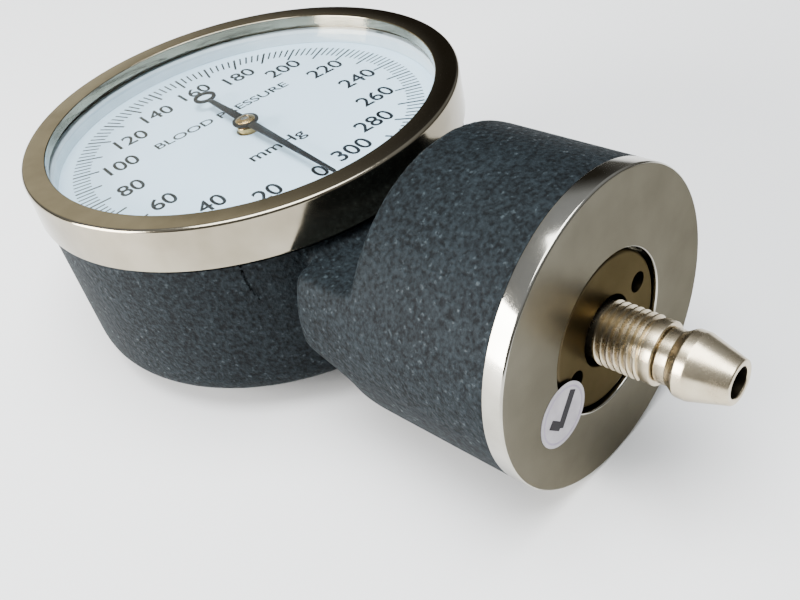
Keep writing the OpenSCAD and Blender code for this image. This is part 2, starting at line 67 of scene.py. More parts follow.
class Signal:
    """One number that flows through a shader, with the arithmetic that a recipe needs."""

    def __init__(self, recipe: "Recipe", socket: bpy.types.NodeSocket) -> None:
        """Wraps an output socket.

        Args:
            recipe: The recipe whose nodes carry the arithmetic.
            socket: The output socket that holds the number.
        """
        self.recipe = recipe
        self.socket = socket

    def _math(self, operation: str, first: Any, second: Any = 0.0) -> "Signal":
        """Adds one Math node.

        Args:
            operation: The Math node's operation.
            first: The first value, a number or a signal.
            second: The second value, a number or a signal.

        Returns:
            The node's result.
        """
        node = self.recipe.node("ShaderNodeMath", {"operation": operation}, {0: first, 1: second})
        return Signal(self.recipe, node.outputs[0])

    def __add__(self, other: Any) -> "Signal":
        """Adds a number or a signal."""
        return self._math("ADD", self, other)

    def __radd__(self, other: Any) -> "Signal":
        """Adds this signal to a number."""
        return self._math("ADD", other, self)

    def __sub__(self, other: Any) -> "Signal":
        """Takes a number or a signal away."""
        return self._math("SUBTRACT", self, other)

    def __rsub__(self, other: Any) -> "Signal":
        """Takes this signal away from a number."""
        return self._math("SUBTRACT", other, self)

    def __mul__(self, other: Any) -> "Signal":
        """Multiplies by a number or a signal."""
        return self._math("MULTIPLY", self, other)

    def __rmul__(self, other: Any) -> "Signal":
        """Multiplies a number by this signal."""
        return self._math("MULTIPLY", other, self)

    def __truediv__(self, other: Any) -> "Signal":
        """Divides by a number or a signal."""
        return self._math("DIVIDE", self, other)

    def __rtruediv__(self, other: Any) -> "Signal":
        """Divides a number by this signal."""
        return self._math("DIVIDE", other, self)

    def __pow__(self, other: Any) -> "Signal":
        """Raises this signal to a power."""
        return self._math("POWER", self, other)

    def __rpow__(self, other: Any) -> "Signal":
        """Raises a number to this signal."""
        return self._math("POWER", other, self)

    def above(self, level: float) -> "Signal":
        """Gives 1 where this signal is over a level and 0 elsewhere."""
        return self._math("GREATER_THAN", self, level)

    def root(self) -> "Signal":
        """Gives the square root."""
        return self._math("SQRT", self)

    def ramp(self, low: float, high: float) -> "Signal":
        """Stretches low to high over 0 to 1 and holds it there.

        Args:
            low: The value that becomes 0.
            high: The value that becomes 1.

        Returns:
            The stretched signal.
        """
        node = self.recipe.node("ShaderNodeMapRange", {"clamp": True}, {"Value": self, 1: low, 2: high})
        return Signal(self.recipe, node.outputs[0])


class Recipe:
    """The node tree of a material or of the sky, written one node at a time."""

    def __init__(self, owner: bpy.types.Material | bpy.types.World) -> None:
        """Empties the owner's node tree.

        Args:
            owner: The material or the world that the recipe is for.
        """
        self.owner = owner
        self.owner.use_nodes = True
        self.tree = self.owner.node_tree
        self.tree.nodes.clear()

    def node(
        self,
        kind: str,
        settings: dict[str, Any] | None = None,
        inputs: dict[str | int, Any] | None = None,
    ) -> bpy.types.Node:
        """Adds a node, sets it up and feeds it.

        Args:
            kind: The node's type.
            settings: The node's own settings. "stops" holds a colour ramp's (place, colour) pairs.
            inputs: What goes into each socket, by its name or index: a number, a colour or a link.

        Returns:
            The node.
        """
        made = self.tree.nodes.new(kind)
        for key, value in (settings or {}).items():
            if key == "stops":
                self._set_stops(made.color_ramp, value)
            else:
                setattr(made, key, value)
        for key, value in (inputs or {}).items():
            self.feed(made.inputs[key], value)
        return made

    def feed(self, socket: bpy.types.NodeSocket, value: Any) -> None:
        """Sets a socket to a value or links it.

        Args:
            socket: The input socket.
            value: A number, a tuple, a signal or an output socket.
        """
        if isinstance(value, Signal):
            self.tree.links.new(value.socket, socket)
        elif isinstance(value, bpy.types.NodeSocket):
            self.tree.links.new(value, socket)
        elif isinstance(value, tuple) and len(value) == 3 and socket.type == "RGBA":
            socket.default_value = (*value, 1.0)
        else:
            socket.default_value = value

    @staticmethod
    def _set_stops(band: bpy.types.ColorRamp, stops: Sequence[tuple[float, Colour]]) -> None:
        """Gives a colour ramp its stops.

        Args:
            band: The ramp.
            stops: The (place, colour) pairs, in order.
        """
        while len(band.elements) < len(stops):
            band.elements.new(1.0)
        for element, (place, colour) in zip(band.elements, stops):
            element.position = place
            element.color = (*colour, 1.0)

    def place(self) -> bpy.types.NodeSocket:
        """Gives the object's own coordinates, in metres."""
        return self.node("ShaderNodeTexCoord").outputs["Object"]

    def cloud(self, size_mm: float, detail: float = 2.0, rough: float = 0.55) -> Signal:
        """Adds smooth noise.

        Args:
            size_mm: The size of its patches.
            detail: How many finer layers it has.
            rough: How strong the finer layers are.

        Returns:
            The noise, about 0.3 to 0.7.
        """
        node = self.node(
            "ShaderNodeTexNoise",
            None,
            {"Vector": self.place(), "Scale": 1 / (size_mm * MM), "Detail": detail, "Roughness": rough},
        )
        return Signal(self, node.outputs[0])

    def cells(self, size_mm: float, feature: str, output: str) -> bpy.types.NodeSocket:
        """Adds a pattern of cells.

        Args:
            size_mm: The size of a cell.
            feature: The Voronoi node's feature.
            output: The output to use, Distance or Color.

        Returns:
            The output socket.
        """
        node = self.node(
            "ShaderNodeTexVoronoi",
            {"feature": feature},
            {"Vector": self.place(), "Scale": 1 / (size_mm * MM)},
        )
        return node.outputs[output]

    def blend(self, share: Any, first: Any, second: Any, way: str = "MIX") -> bpy.types.NodeSocket:
        """Mixes two colours.

        Args:
            share: How much of the second colour shows.
            first: The first colour.
            second: The second colour.
            way: The blend type.

        Returns:
            The mixed colour.
        """
        settings = {"data_type": "RGBA", "blend_type": way}
        return self.node("ShaderNodeMix", settings, {0: share, 6: first, 7: second}).outputs[2]

    def bump(self, height: Signal, depth_mm: float, strength: float = 1.0) -> bpy.types.NodeSocket:
        """Turns a height into a normal.

        Args:
            height: The height, 0 to 1.
            depth_mm: What 1 means.
            strength: How much of it shows.

        Returns:
            The normal.
        """
        inputs = {"Height": height, "Distance": depth_mm * MM, "Strength": strength}
        return self.node("ShaderNodeBump", None, inputs).outputs[0]

    def surface(self, inputs: dict[str | int, Any]) -> bpy.types.Material:
        """Ends the recipe in a Principled shader.

        Args:
            inputs: What goes into its sockets.

        Returns:
            The finished material.
        """
        return self.show(self.node("ShaderNodeBsdfPrincipled", None, inputs).outputs[0])

    def show(self, shader: bpy.types.NodeSocket) -> bpy.types.Material:
        """Sends a shader to the material's output.

        Args:
            shader: The shader's socket.

        Returns:
            The finished material.
        """
        self.node("ShaderNodeOutputMaterial", None, {"Surface": shader})
        return self.owner


class Finish:
    """What every finish shares: it makes its material once and hands out the same one after that."""

    name: str

    def material(self) -> bpy.types.Material:
        """Gives the finish's material, made at the first call."""
        title = f"look_{self.name}"
        return bpy.data.materials.get(title) or self.make(Recipe(bpy.data.materials.new(title)))

    def make(self, recipe: Recipe) -> bpy.types.Material:
        """Writes the finish into a recipe.

        Args:
            recipe: The empty recipe.

        Returns:
            The finished material.
        """
        raise NotImplementedError


@dataclass(frozen=True)
class TexturedPaint(Finish):
    """Dark sprayed paint that dries in fine grains with pale flecks; painted shade darkens the grain's
    hollows.
    """

    name: str = "textured_case_paint"
    # hollow is painted shade for the grain's low spots; crest is the paint's own colour on its high spots.
    hollow: Colour = (0.0022, 0.0031, 0.0038)
    crest: Colour = (0.0124, 0.0176, 0.0212)
    fleck: Colour = (0.036, 0.047, 0.053)
    grain_mm: float = 0.55
    lump_mm: float = 0.38
    depth_mm: float = 0.10

    def make(self, recipe: Recipe) -> bpy.types.Material:
        """Mixes grain, lumps and flecks, and darkens the grain's hollows with painted shade.

        Args:
            recipe: The empty recipe.

        Returns:
            The paint.
        """
        grain = recipe.cloud(self.grain_mm, 3.0, 0.65)
        lumps = Signal(recipe, recipe.cells(self.lump_mm, "SMOOTH_F1", "Distance"))
        patches = recipe.cloud(6.0, 1.0)
        height = grain.ramp(0.3, 0.7) * 0.65 + (1 - lumps.ramp(0.0, 0.7)) * 0.35
        # Painted shade: the grain's low spots take the near-black hollow colour and its high spots the crest
        # colour. The large patches add real random mottle.
        tone = (height + (patches - 0.5) * 0.25).ramp(0.20, 0.84)
        base = recipe.blend(tone, self.hollow, self.crest)
        chosen = recipe.cells(self.lump_mm * 0.8, "F1", "Color")
        chance = Signal(recipe, recipe.node("ShaderNodeSeparateColor", None, {0: chosen}).outputs[0])
        sparkle = chance.above(0.93) * height.ramp(0.45, 0.8)
        return recipe.surface(
            {
                "Base Color": recipe.blend(sparkle * 0.8, base, self.fleck),
                "Roughness": 0.72 - sparkle * 0.35 - height * 0.12,
                "Specular IOR Level": 0.09,
                "Normal": recipe.bump(height, self.depth_mm, 0.9),
            }
        )


@dataclass(frozen=True)
class PolishedMetal(Finish):
    """Plated or cut metal with faint clouding and hairline wear."""

    name: str
    bright: Colour
    dull: Colour
    rough_low: float = 0.10
    rough_high: float = 0.20
    cloud_mm: float = 7.0
    wear_mm: float = 0.25
    wear_depth_mm: float = 0.002

    def make(self, recipe: Recipe) -> bpy.types.Material:
        """Clouds the colour and the gloss.

        Args:
            recipe: The empty recipe.

        Returns:
            The metal.
        """
        cloud = recipe.cloud(self.cloud_mm, 3.0).ramp(0.35, 0.68)
        wear = recipe.cloud(self.wear_mm, 2.0)
        spread = self.rough_high - self.rough_low
        return recipe.surface(
            {
                "Base Color": recipe.blend(cloud, self.bright, self.dull),
                "Metallic": 1.0,
                "Roughness": self.rough_low + cloud * spread * 0.7 + wear.ramp(0.35, 0.7) * spread * 0.3,
                "Normal": recipe.bump(wear, self.wear_depth_mm, 0.5),
            }
        )


@dataclass(frozen=True)
class TurnedMetal(Finish):
    """Metal faced on a lathe, with fine rings round the barrel's axis."""

    name: str
    bright: Colour
    dull: Colour
    rough_low: float = 0.30
    rough_high: float = 0.42
    ring_mm: float = 0.09
    ring_depth_mm: float = 0.003
    edge_tint: Colour = (0.52, 0.50, 0.46)

    def make(self, recipe: Recipe) -> bpy.types.Material:
        """Draws the rings from the distance to the barrel's axis.

        Args:
            recipe: The empty recipe.

        Returns:
            The metal.
        """
        parts = recipe.node("ShaderNodeSeparateXYZ", None, {0: recipe.place()})
        across = Signal(recipe, parts.outputs[0])
        up = Signal(recipe, parts.outputs[2]) - Extent.of("end_cap").middle.z * MM
        reach = (across * across + up * up).root()
        rings = recipe.node(
            "ShaderNodeTexNoise",
            {"noise_dimensions": "1D"},
            {"W": reach / (self.ring_mm * MM), "Scale": 1.0, "Detail": 3.0, "Roughness": 0.7},
        )
        ring = Signal(recipe, rings.outputs[0])
        cloud = recipe.cloud(5.0, 3.0).ramp(0.35, 0.68)
        spread = self.rough_high - self.rough_low
        return recipe.surface(
            {
                "Base Color": recipe.blend(cloud * 0.6 + ring * 0.4, self.bright, self.dull),
                "Metallic": 1.0,
                "Roughness": self.rough_low + cloud * spread * 0.6 + ring * spread * 0.4,
                "Specular Tint": (*self.edge_tint, 1.0),
                "Normal": recipe.bump(ring, self.ring_depth_mm, 0.6),
            }
        )


@dataclass(frozen=True)
class Coating(Finish):
    """Paint, plastic, rubber or ink: a plain colour with a little life in it."""

    name: str
    colour: Colour
    shade: Colour
    rough: float = 0.45
    rough_spread: float = 0.12
    cloud_mm: float = 4.0
    skin_mm: float = 0.12
    skin_depth_mm: float = 0.003
    coat: float = 0.0
    shine: float = 0.5

    def make(self, recipe: Recipe) -> bpy.types.Material:
        """Mottles the colour and gives the skin a fine grain.

        Args:
            recipe: The empty recipe.

        Returns:
            The coating.
        """
        cloud = recipe.cloud(self.cloud_mm, 3.0).ramp(0.32, 0.7)
        skin = recipe.cloud(self.skin_mm, 2.0)
        return recipe.surface(
            {
                "Base Color": recipe.blend(cloud, self.colour, self.shade),
                "Roughness": self.rough + (cloud - 0.5) * self.rough_spread,
                "Coat Weight": self.coat,
                "Specular IOR Level": self.shine,
                "Normal": recipe.bump(skin, self.skin_depth_mm, 0.5),
            }
        )


@dataclass(frozen=True)
class ClearPane(Finish):
    """Clear flat glazing that mirrors more at a shallow angle."""

    name: str = "clear_pane"
    tint: Colour = (0.985, 0.995, 1.0)
    gloss: Colour = (0.95, 0.98, 1.0)
    head_on: float = 0.01
    smear_mm: float = 9.0

    def make(self, recipe: Recipe) -> bpy.types.Material:
        """Mixes see-through and mirror by the viewing slope.

        Args:
            recipe: The empty recipe.

        Returns:
            The pane.
        """
        facing = recipe.node("ShaderNodeLayerWeight", None, {"Blend": 0.5}).outputs["Facing"]
        mirror = self.head_on + (1 - self.head_on) * Signal(recipe, facing) ** 5.0
        smear = recipe.cloud(self.smear_mm, 3.0).ramp(0.4, 0.75)
        clear = recipe.node("ShaderNodeBsdfTransparent", None, {"Color": self.tint})
        shine = recipe.node(
            "ShaderNodeBsdfGlossy", None, {"Color": self.gloss, "Roughness": 0.02 + smear * 0.05}
        )
        mixed = recipe.node(
            "ShaderNodeMixShader", None, {0: mirror, 1: clear.outputs[0], 2: shine.outputs[0]}
        )
        return recipe.show(mixed.outputs[0])


class Shelf:
    """The finishes that the gauge uses."""

    CASE_PAINT = TexturedPaint()
    BEZEL_NICKEL = PolishedMetal("bezel_nickel", (0.37, 0.33, 0.25), (0.27, 0.235, 0.17), 0.07, 0.16)
    CAP_BAND = PolishedMetal("cap_band_nickel", (0.50, 0.48, 0.42), (0.34, 0.32, 0.27), 0.08, 0.18)
    CAP_FACE = TurnedMetal("cap_face_satin", (0.135, 0.125, 0.098), (0.112, 0.103, 0.080))
    NUT_BRONZE = TurnedMetal("nut_bronze", (0.064, 0.050, 0.028), (0.048, 0.037, 0.020), 0.28, 0.42)
    STEM_NICKEL = PolishedMetal("stem_nickel", (0.62, 0.54, 0.39), (0.45, 0.37, 0.25), 0.20, 0.32, 3.0)
    # Near-black metal for the barb's bore: painted shade inside the narrow hole.
    BORE_TARNISH = PolishedMetal("bore_painted_shade", (0.025, 0.02, 0.012), (0.015, 0.012, 0.008), 0.5, 0.6, 1.5)
    BRASS = PolishedMetal("brass", (0.66, 0.44, 0.18), (0.42, 0.27, 0.10), 0.16, 0.32, 2.5)
    STEEL = PolishedMetal("steel", (0.62, 0.63, 0.64), (0.50, 0.51, 0.53), 0.20, 0.32, 3.0)
    SPRING_STEEL = PolishedMetal("spring_steel", (0.20, 0.26, 0.42), (0.14, 0.17, 0.30), 0.18, 0.3, 2.0)
    PLATE_ALLOY = PolishedMetal("movement_plate", (0.66, 0.63, 0.52), (0.55, 0.52, 0.42), 0.24, 0.4)
    CAPSULE_BRONZE = PolishedMetal("capsule_bronze", (0.72, 0.52, 0.30), (0.58, 0.40, 0.22), 0.2, 0.35)
    RUBBER = Coating("black_rubber", (0.012, 0.012, 0.013), (0.020, 0.020, 0.021), 0.62)
    DIAL_WHITE = Coating("dial_white", (0.62, 0.80, 0.93), (0.58, 0.76, 0.89), 0.42, 0.1, 9.0)
    SPACER_WHITE = Coating("spacer_white", (0.66, 0.74, 0.78), (0.58, 0.66, 0.70), 0.38, 0.1, 3.0)
    DIAL_INK = Coating("dial_ink", (0.003, 0.004, 0.006), (0.006, 0.008, 0.011), 0.6, 0.1, 0.8, shine=0.1)
    NEEDLE_BLACK = Coating(
        "needle_black", (0.006, 0.006, 0.007), (0.011, 0.010, 0.010), 0.4, 0.1, 1.2, shine=0.12
    )
    PAPER = Coating("sticker_paper", (0.52, 0.49, 0.53), (0.42, 0.39, 0.43), 0.5, 0.1, 1.5)
    STICKER_INK = Coating(
        "sticker_ink", (0.010, 0.008, 0.011), (0.02, 0.016, 0.02), 0.5, 0.1, 0.8, shine=0.15
    )
    STICKER_RING = Coating("sticker_ring_ink", (0.42, 0.36, 0.47), (0.36, 0.31, 0.42), 0.5, 0.1, 0.8)
    PANE = ClearPane()


# ---------------------------------------------------------------- the bench


class Lay(Enum):
    """Which way the axis of a turned part points."""

    DIAL = "up from the case back"
    BARREL = "out along the barrel"

    def matrix(self, axis_z: float = 0.0) -> Matrix:
        """Gives the turn and shift from the lathe to the gauge.

        Args:
            axis_z: Height of the barrel's axis. The dial's lay has no use for it.

        Returns:
            The transform, in millimetres.
        """
        if self is Lay.DIAL:
            return Matrix.Identity(4)
        return Matrix.Translation((0, 0, axis_z)) @ Matrix.Rotation(math.pi / 2, 4, "X")


@dataclass(frozen=True)
class Extent:
    """The room a CAD node takes, in millimetres."""

    low: Vector
    high: Vector

    @classmethod
    def of(cls, node: str) -> "Extent":
        """Measures a CAD node.

        Args:
            node: The node's name.

        Returns:
            Its extent.
        """
        low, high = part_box(node)
        return cls(low / MM, high / MM)

    @property
    def radius(self) -> float:
        """Half the width along X."""
        return (self.high.x - self.low.x) / 2

    @property
    def middle(self) -> Vector:
        """The centre."""
        return (self.low + self.high) / 2


def rounded_outline(corners: Sequence[Corner], closed: bool) -> list[Vector]:
    """Rounds the corners of an outline.

    Args:
        corners: (radius, height) or (radius, height, fillet) of each corner.
        closed: Whether the last corner joins the first.

    Returns:
        The outline's points.
    """
    arc_steps = 7
    points: list[Vector] = []
    for i, corner in enumerate(corners):
        here = Vector(corner[:2])
        fillet = corner[2] if len(corner) > 2 else 0.0
        if not fillet or (not closed and i in (0, len(corners) - 1)):
            points.append(here)
            continue
        back = (Vector(corners[i - 1][:2]) - here).normalized()
        on = (Vector(corners[(i + 1) % len(corners)][:2]) - here).normalized()
        half = back.angle(on) / 2
        centre = here + (back + on).normalized() * (fillet / math.sin(half))
        first = here + back * (fillet / math.tan(half)) - centre
        last = here + on * (fillet / math.tan(half)) - centre
        points += [centre + fillet * first.slerp(last, k / arc_steps) for k in range(arc_steps + 1)]
    return points


class Workpiece:
    """A mesh on the bench, in millimetres."""

    def __init__(self) -> None:
        """Starts with nothing on the bench."""
        self.bm = bmesh.new()

    def _place(self, before: set[bmesh.types.BMVert], where: Matrix) -> list[bmesh.types.BMVert]:
        """Moves what was just added.

        Args:
            before: The vertices that were there before.
            where: The transform.

        Returns:
            The new vertices.
        """
        fresh = [v for v in self.bm.verts if v not in before]
        bmesh.ops.transform(self.bm, matrix=where, verts=fresh)
        return fresh

    def turn(
        self,
        corners: Sequence[Corner],
        where: Matrix | None = None,
        steps: int = 192,
        closed: bool = True,
    ) -> "Workpiece":
        """Turns an outline round the lathe's axis.

        Args:
            corners: The outline, as rounded_outline takes it. An open one starts and ends on the axis.
            where: The transform from the lathe to the gauge.
            steps: Facets round the axis.
            closed: Whether the outline is a ring that stays off the axis.

        Returns:
            This workpiece.
        """
        before = set(self.bm.verts)
        outline = rounded_outline(corners, closed)
        verts = [self.bm.verts.new((p.x, 0, p.y)) for p in outline]
        partners = verts[1:] + (verts[:1] if closed else [])
        edges = [self.bm.edges.new(pair) for pair in zip(verts, partners)]
        bmesh.ops.spin(
            self.bm, geom=verts + edges, cent=(0, 0, 0), axis=(0, 0, 1), dvec=(0, 0, 0),
            angle=FULL_TURN, steps=steps, use_merge=True,
        )  # fmt: skip
        fresh = [v for v in self.bm.verts if v not in before]
        bmesh.ops.remove_doubles(self.bm, verts=fresh, dist=1e-5)
        self._place(before, where or Lay.DIAL.matrix())
        return self

    def thread(
        self, foot_r: float, crest_r: float, start: float, pitch: float, turns: float, where: Matrix
    ) -> "Workpiece":
        """Winds a thread ridge round a core.

        Args:
            foot_r: Radius inside the core where the ridge starts.
            crest_r: Radius over the crest.
            start: Height of the first turn's foot.
            pitch: Rise for each turn.
            turns: How many turns.
            where: The transform from the lathe to the gauge.

        Returns:
            This workpiece.
        """
        steps = 72
        before = set(self.bm.verts)
        flat = 0.12 * pitch
        root = 0.49 * pitch
        shape = [
            (foot_r, start - root), (crest_r, start - flat), (crest_r, start + flat), (foot_r, start + root)
        ]  # fmt: skip
        verts = [self.bm.verts.new((r, 0, z)) for r, z in shape]
        first = self.bm.faces.new(verts)
        count = round(turns * steps)
        bmesh.ops.spin(
            self.bm, geom=[first, *first.edges, *verts], cent=(0, 0, 0), axis=(0, 0, 1),
            dvec=(0, 0, pitch / steps), angle=FULL_TURN * turns, steps=count, use_merge=False,
        )  # fmt: skip
        self._place(before, where)
        return self

    def block(self, size: Vector, where: Matrix, bevel: float = 0.0) -> "Workpiece":
        """Adds a block.

        Args:
            size: Its width, length and height.
            where: The place of its centre.
            bevel: The width of its broken edges.

        Returns:
            This workpiece.
        """
        before = set(self.bm.verts)
        bmesh.ops.create_cube(self.bm, size=1.0, matrix=Matrix.Diagonal((*size, 1)))
        if bevel:
            fresh = [v for v in self.bm.verts if v not in before]
            edges = list({e for v in fresh for e in v.link_edges})
            bmesh.ops.bevel(
                self.bm, geom=edges, offset=bevel, affect="EDGES", segments=2, profile=0.5, material=-1
            )
        self._place(before, where)
        return self

    def add_mesh(self, mesh: bpy.types.Mesh, where: Matrix | None = None) -> "Workpiece":
        """Adds a mesh and throws the original away.

        Args:
            mesh: The mesh.
            where: Its place.

        Returns:
            This workpiece.
        """
        before = set(self.bm.verts)
        self.bm.from_mesh(mesh)
        bpy.data.meshes.remove(mesh)
        self._place(before, where or Matrix.Identity(4))
        return self

    def face_finish(self, index: int, test: Callable[[bmesh.types.BMFace], bool]) -> "Workpiece":
        """Gives some faces another of the piece's finishes.

        Args:
            index: The finish's place in the list that deliver takes.
            test: Says whether a face gets it.

        Returns:
            This workpiece.
        """
        for f in self.bm.faces:
            if test(f):
                f.material_index = index
        return self

    def trial(self) -> bpy.types.Object:
        """Gives a throw-away object, still in millimetres, for modifiers to work on."""
        bmesh.ops.recalc_face_normals(self.bm, faces=self.bm.faces)
        mesh = bpy.data.meshes.new("trial")
        self.bm.to_mesh(mesh)
        self.bm.free()
        thing = bpy.data.objects.new("trial", mesh)
        bpy.context.scene.collection.objects.link(thing)
        return thing

    def cut(self, tools: Iterable["Workpiece"]) -> "Workpiece":
        """Takes the shape of each tool away.

        Args:
            tools: Closed workpieces.

        Returns:
            A new workpiece.
        """
        blank = self.trial()
        cutters = [tool.trial() for tool in tools]
        for cutter in cutters:
            step = blank.modifiers.new("cut", "BOOLEAN")
            step.operation = "DIFFERENCE"
            step.solver = "MANIFOLD"
            step.object = cutter
        return Workpiece().add_mesh(settled_mesh(blank, cutters))

    def deliver(
        self,
        name: str,
        finishes: Sequence[Finish],
        body: str,
        stands_for: Sequence[str] = (),
        slot: str = "",
        sharp_deg: float = 32.0,
    ) -> bpy.types.Object:
        """Makes the piece an object on its body, in metres.

        Args:
            name: The piece's name.
            finishes: Its finishes, by face index.
            body: The CAD body that it rides on.
            stands_for: The CAD nodes that it replaces.
            slot: The record's material slot; not used.
            sharp_deg: Edges sharper than this stay crisp.

        Returns:
            The object.
        """
        bmesh.ops.recalc_face_normals(self.bm, faces=self.bm.faces)
        bmesh.ops.scale(self.bm, vec=(MM, MM, MM), verts=self.bm.verts)
        mesh = bpy.data.meshes.new(name)
        self.bm.to_mesh(mesh)
        self.bm.free()
        mesh.shade_smooth()
        mesh.set_sharp_from_angle(angle=math.radians(sharp_deg))
        for finish in finishes:
            mesh.materials.append(finish.material())
        piece = bpy.data.objects.new(name, mesh)
        bpy.context.scene.collection.objects.link(piece)
        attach(piece, body)
        if stands_for:
            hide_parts(*stands_for)
        LOG.info("%s: %d faces on %s", name, len(mesh.polygons), body)
        return piece


def settled_mesh(thing: bpy.types.Object, helpers: Iterable[bpy.types.Object] = ()) -> bpy.types.Mesh:
    """Freezes an object's modifiers into a mesh and clears the bench.

    Args:
        thing: The object. It is thrown away.
        helpers: Other objects that its modifiers used. They are thrown away too.

    Returns:
        The mesh.
    """
    bpy.context.view_layer.update()
    graph = bpy.context.evaluated_depsgraph_get()
    mesh = bpy.data.meshes.new_from_object(thing.evaluated_get(graph))
    for spent in (thing, *helpers):
        data = spent.data
        bpy.data.objects.remove(spent)
        if isinstance(data, bpy.types.Mesh):
            bpy.data.meshes.remove(data)
    return mesh


def lettering(
    text: str, height: float, width_share: float, thick: float, weight: float = 0.013
) -> Workpiece:
    """Makes flat lettering about the origin, in the XY plane.

    Args:
        text: What it says.
        height: The height of its capitals and figures.
        width_share: How wide the letters are for their height, as a share.
        thick: How thick it is at its outline.
        weight: How far its strokes grow on each side, for a font size of 1.

    Returns:
        The lettering.
    """
    curve = bpy.data.curves.new("lettering", "FONT")
    curve.body = text
    curve.align_x = "CENTER"
    curve.extrude = thick / 2
    curve.bevel_depth = weight
    curve.bevel_resolution = 0
    curve.resolution_u = 4
    curve.size = 1.0
    thing = bpy.data.objects.new("lettering", curve)
    bpy.context.scene.collection.objects.link(thing)
    letters = Workpiece().add_mesh(settled_mesh(thing))
    low = min(v.co.y for v in letters.bm.verts)
    high = max(v.co.y for v in letters.bm.verts)
    scale = height / (high - low)
    bmesh.ops.translate(letters.bm, vec=(0, -(low + high) / 2, 0), verts=letters.bm.verts)
    bmesh.ops.scale(letters.bm, vec=(scale * width_share, scale, 1), verts=letters.bm.verts)
    return letters


def turned_about_dial(angle_deg: float, radius: float, height: float) -> Matrix:
    """Gives the place of something on the dial, turned so that its X axis points outwards.

    Args:
        angle_deg: Its angle from +X.
        radius: Its distance from the dial's axis.
        height: Its height.

    Returns:
        The transform.
    """
    return Matrix.Rotation(math.radians(angle_deg), 4, "Z") @ Matrix.Translation((radius, 0, height))


# ---------------------------------------------------------------- the gauge


